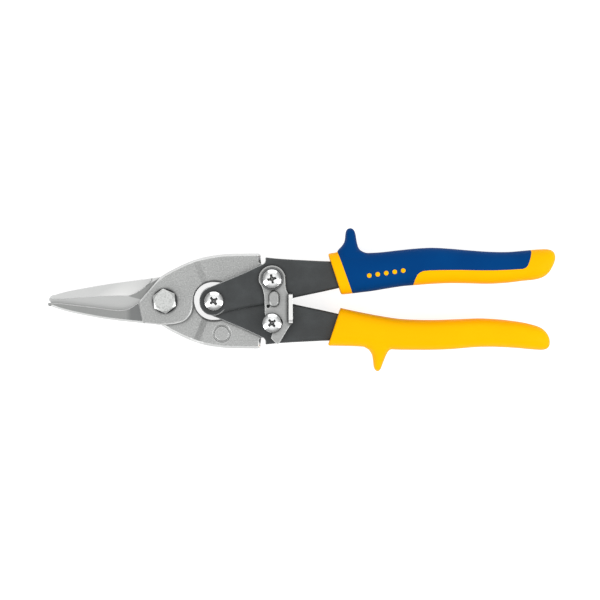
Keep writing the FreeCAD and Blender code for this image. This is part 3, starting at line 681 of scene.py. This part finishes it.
# The thumb stop and the finger guard, from root to crest.
THUMB_STOP = [
    (84.6, 18.0, 104.0, 18.0, 8.8), (85.4, 23.0, 101.8, 23.0, 8.3),
    (86.0, 24.6, 98.7, 24.6, 7.8), (86.2, 25.5, 97.2, 25.5, 7.5),
    (87.7, 27.0, 96.2, 27.0, 7.2), (88.9, 28.6, 95.8, 28.6, 6.9),
    (89.6, 30.4, 95.4, 30.4, 6.5), (89.9, 33.6, 94.9, 33.6, 5.8),
    (90.3, 35.2, 94.3, 35.2, 4.8), (91.1, 36.1, 93.5, 36.1, 3.2),
    (91.8, 36.45, 92.8, 36.45, 1.4),
]
FINGER_GUARD = [
    (97.0, -19.0, 119.0, -19.0, 8.8), (99.0, -22.6, 115.5, -22.6, 8.3),
    (101.2, -24.0, 112.6, -24.0, 7.8), (102.3, -25.2, 111.2, -25.2, 7.4),
    (103.2, -26.9, 110.3, -26.9, 7.0), (103.5, -28.4, 109.6, -28.4, 6.7),
    (103.8, -30.8, 108.7, -30.8, 6.2), (104.1, -33.2, 107.8, -33.2, 5.3),
    (104.8, -34.5, 107.1, -34.5, 3.8), (105.5, -35.1, 106.4, -35.1, 1.6),
]
# Where the soft overmould lies on the upper grip, in plan.
OVERMOULD_ZONE = [
    (78.0, 44.0), (85.85, 24.9), (93.5, 3.7), (94.8, 0.0), (123.0, 0.0), (123.4, 7.9),
    (124.2, 10.9), (125.3, 13.1), (126.6, 14.3), (128.4, 15.0), (131.5, 15.3), (138.0, 15.45),
    (146.8, 15.5), (156.0, 15.3), (163.0, 15.3), (169.0, 15.5), (174.0, 15.8), (177.5, 16.0),
    (178.9, 16.5), (179.9, 17.6), (180.6, 19.3), (181.3, 21.6), (181.9, 24.3), (182.4, 44.0),
]
CUTTER_LOW, CUTTER_HIGH = -5.0, 25.0    # heights past both faces of a grip
GROOVE = 0.14                   # half the width of the groove round the overmould
VOXEL = 0.5
RELAX = 6                       # rounds of smoothing
GRIP_STEPS, STOP_STEPS = 150, 40
STOP_SQUARENESS = 2.6

# A row of small raised studs on the overmould, over its front half.
STUD_COUNT = 5
STUD_X, STUD_X_STEP = 101.5, 4.2
STUD_Y, STUD_Y_STEP = 12.6, 0.62
STUD_SIDES = 28
STUD_SEAT = MID + 9.85          # just under the overmould's surface there
STUD_PROFILE = [(1.15, -1.2), (1.15, 0.16), (1.0, 0.32), (0.7, 0.42)]   # radius, lift
STUD_CROWN = 0.45


def grip_parts(grip, stop):
    """The bar of a grip and the stop on it, as closed bmeshes."""
    return [lofted(smoothed(grip, GRIP_STEPS)),
            lofted(smoothed(stop, STOP_STEPS), squareness=STOP_SQUARENESS)]


def build_upper_grip():
    parts = grip_parts(UPPER_GRIP, THUMB_STOP)
    core = melted("upper_grip_hard", parts)
    soft = melted("upper_grip_soft", parts)
    inside = prism("overmould_inside", grown(OVERMOULD_ZONE, -GROOVE), CUTTER_LOW, CUTTER_HIGH)
    outside = prism("overmould_outside", grown(OVERMOULD_ZONE, GROOVE), CUTTER_LOW, CUTTER_HIGH)
    boolean(soft, inside, "INTERSECT")
    boolean(core, outside, "DIFFERENCE")
    for item, slot, node in ((core, "grip_yellow", "upper_grip_core"),
                             (soft, "grip_blue", "upper_grip_overmould")):
        shade_smooth(item, 35)
        dress(item, MATERIALS[slot])
        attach(item, "upper_handle")
        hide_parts(node)
    for tool in (inside, outside):
        bpy.data.objects.remove(tool)


def build_lower_grip():
    grip = melted("lower_grip_hard", grip_parts(LOWER_GRIP, FINGER_GUARD))
    shade_smooth(grip, 50)
    dress(grip, MATERIALS["grip_yellow"])
    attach(grip, "lower_handle")
    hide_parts("lower_grip")


def build_studs():
    mesh = bmesh.new()
    for number in range(STUD_COUNT):
        x, y = STUD_X + STUD_X_STEP * number, STUD_Y + STUD_Y_STEP * number
        rings = []
        for radius, lift in STUD_PROFILE:
            rings.append([mesh.verts.new(Vector((x + radius * math.cos(a),
                                                 y + radius * math.sin(a),
                                                 STUD_SEAT + lift)) * MM)
                          for a in circle(STUD_SIDES)])
        crown = mesh.verts.new(Vector((x, y, STUD_SEAT + STUD_CROWN)) * MM)
        wall(mesh, rings)
        for here in range(STUD_SIDES):
            mesh.faces.new((rings[-1][here], rings[-1][(here + 1) % STUD_SIDES], crown))
        mesh.faces.new(reversed(rings[0]))
    studs = new_piece("upper_grip_studs", mesh_data("upper_grip_studs", mesh),
                      MATERIALS["grip_yellow"], "upper_handle")
    shade_smooth(studs, 40)


# ---------------------------------------------------------------- spring

SPRING_COIL = 4.15              # radius of the coil at the middle of the wire
SPRING_WIRE = 0.65
SPRING_PITCH = 1.42
SPRING_HALF_TURNS = 1.25        # turns of the coil in each half
SPRING_OVERLAP = 60.0           # degrees that each half runs on past the middle
SPRING_LEG = 16.0
SPRING_SPREAD = 0.9             # how much further out a leg's tip is than its root
WIRE_SIDES = 16
LEG_STEPS, COIL_STEPS = 12, 90


def tube(name, path, radius):
    """A round wire along a path of points, its ends closed."""
    mesh = bmesh.new()
    rings = []
    for index, point in enumerate(path):
        ahead = (path[min(index + 1, len(path) - 1)] - path[max(index - 1, 0)]).normalized()
        side = ahead.cross(Vector((0, 0, 1))).normalized()
        up = side.cross(ahead)
        rings.append([
            mesh.verts.new((point + radius * (side * math.cos(a) + up * math.sin(a))) * MM)
            for a in circle(WIRE_SIDES)])
    closed_wall(mesh, rings)
    return mesh_data(name, mesh)


def spring_path(side, start):
    """Half of the spring, from the tip of its leg at x = start round to the middle of the coil;
    side is 1 for the front half and -1 for the back one."""
    path = []
    for step in range(LEG_STEPS):
        x = start + (HANDLE_PIVOT_X - start) * step / LEG_STEPS
        y = SPRING_COIL + SPRING_SPREAD * (1 - step / LEG_STEPS)
        path.append(Vector((x, side * y, MID + side * SPRING_PITCH * SPRING_HALF_TURNS)))
    for step in range(COIL_STEPS + 1):
        turned = (SPRING_HALF_TURNS * 360 + SPRING_OVERLAP) * step / COIL_STEPS
        angle = math.radians(90 + turned)
        height = SPRING_PITCH * (SPRING_HALF_TURNS - turned / 360)
        path.append(Vector((HANDLE_PIVOT_X + SPRING_COIL * math.cos(angle),
                            side * SPRING_COIL * math.sin(angle), MID + side * height)))
    return path


def build_spring():
    """The torsion spring as two halves of one coil, each with its leg. Neither half is attached
    to a body, so neither turns with a handle or a jaw."""
    start = HANDLE_PIVOT_X + SPRING_LEG
    for name, side, handle, jaw in (("spring_front_half", 1, "upper_handle", "front_jaw"),
                                    ("spring_back_half", -1, "lower_handle", "back_jaw")):
        wire = tube(name, spring_path(side, start), SPRING_WIRE)
        piece = new_piece(name, wire, MATERIALS["spring_steel"], None)
        shade_smooth(piece, 60)
        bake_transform(piece)
        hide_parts("torsion_spring")


# ---------------------------------------------------------------- stage, lights, camera

PAPER = (0.36, 0.36, 0.36)
PAPER_FIBRE = (0.34, 0.34, 0.34)
PAPER_GLOW = 0.8                # the floor also glows, which makes it white from above
# Places and sizes of the floor, the lights and the view are in metres.
FLOOR_HALF_SIZE = 1.5
FLOOR_SEGMENTS = 24
FLOOR_PLACE = (0.07, 0.0, 0.0)

# Grey of the sky by the height of the view, 0 at the horizon and 1 overhead.
SKY = [(0.0, 0.9), (0.2, 0.8), (0.34, 0.2), (0.52, 0.32), (0.82, 1.0)]
SKY_STRENGTH = 1.15
LIT_SPOT = (0.068, 0.0, 0.0)
SOFTBOXES = [                   # name, place, width and height, watts
    ("front_softbox", (-0.85, -0.5, 0.7), (0.5, 0.9), 6.0),
    ("rear_softbox", (1.0, -0.3, 0.7), (0.5, 0.9), 6.5),
    ("far_softbox", (0.1, 1.0, 0.6), (1.2, 0.5), 3.0),
]

LENS, SENSOR = 120.0, 36.0      # millimetres
VIEW_WIDTH = 0.2985             # width of the view at the height of the handles
VIEW_CENTRE = (0.0672, 0.0005)
HANDLE_TOP = (MID + 5) * MM
CLIP_START = 0.01


def build_stage():
    floor = Shader("studio_paper", PAPER, 0.8)
    fibre = floor.noise(0.6, detail=5)
    floor.tint(PAPER_FIBRE, fibre, 0.5)
    floor.raise_by(fibre, 0.01)
    floor.bsdf.inputs["Emission Color"].default_value = (1.0, 1.0, 1.0, 1.0)
    floor.bsdf.inputs["Emission Strength"].default_value = PAPER_GLOW
    mesh = bmesh.new()
    bmesh.ops.create_grid(mesh, x_segments=FLOOR_SEGMENTS, y_segments=FLOOR_SEGMENTS,
                          size=FLOOR_HALF_SIZE)
    item = new_object("studio_floor", mesh_data("studio_floor", mesh))
    item.location = FLOOR_PLACE
    dress(item, floor.done(0))


def build_sky():
    """A sky bright overhead and at the horizon, with a dark band between."""
    world = bpy.data.worlds.new("studio")
    bpy.context.scene.world = world
    world.use_nodes = True
    nodes, links = world.node_tree.nodes, world.node_tree.links
    place = nodes.new("ShaderNodeTexCoord")
    axes = nodes.new("ShaderNodeSeparateXYZ")
    ramp = nodes.new("ShaderNodeValToRGB")
    while len(ramp.color_ramp.elements) < len(SKY):
        ramp.color_ramp.elements.new(0.5)
    for element, (height, grey) in zip(ramp.color_ramp.elements, SKY):
        element.position = height
        element.color = (grey, grey, grey, 1.0)
    links.new(place.outputs["Generated"], axes.inputs[0])
    links.new(axes.outputs["Z"], ramp.inputs["Fac"])
    links.new(ramp.outputs["Color"], nodes["Background"].inputs["Color"])
    nodes["Background"].inputs["Strength"].default_value = SKY_STRENGTH


def build_softboxes():
    """A softbox off each end of the tool and one beyond it."""
    for name, place, (width, height), watts in SOFTBOXES:
        light = bpy.data.lights.new(name, "AREA")
        light.shape = "RECTANGLE"
        light.size, light.size_y = width, height
        light.energy = watts
        item = new_object(name, light)
        item.location = place
        item.rotation_mode = "QUATERNION"
        aim = Vector(LIT_SPOT) - Vector(place)
        item.rotation_quaternion = aim.to_track_quat("-Z", "Y")


def build_camera():
    """A long lens straight above, framed as the photograph is."""
    camera = bpy.data.cameras.new("top_camera")
    camera.lens = LENS
    camera.sensor_width = SENSOR
    camera.clip_start = CLIP_START
    item = new_object("top_camera", camera)
    item.location = (*VIEW_CENTRE, HANDLE_TOP + VIEW_WIDTH * LENS / SENSOR)
    bpy.context.scene.camera = item


build_camera()
dress_cad_nodes()
build_upper_grip()
build_lower_grip()
build_studs()
build_spring()
build_stage()
build_sky()
build_softboxes()
bpy.context.scene.view_settings.view_transform = "Standard"
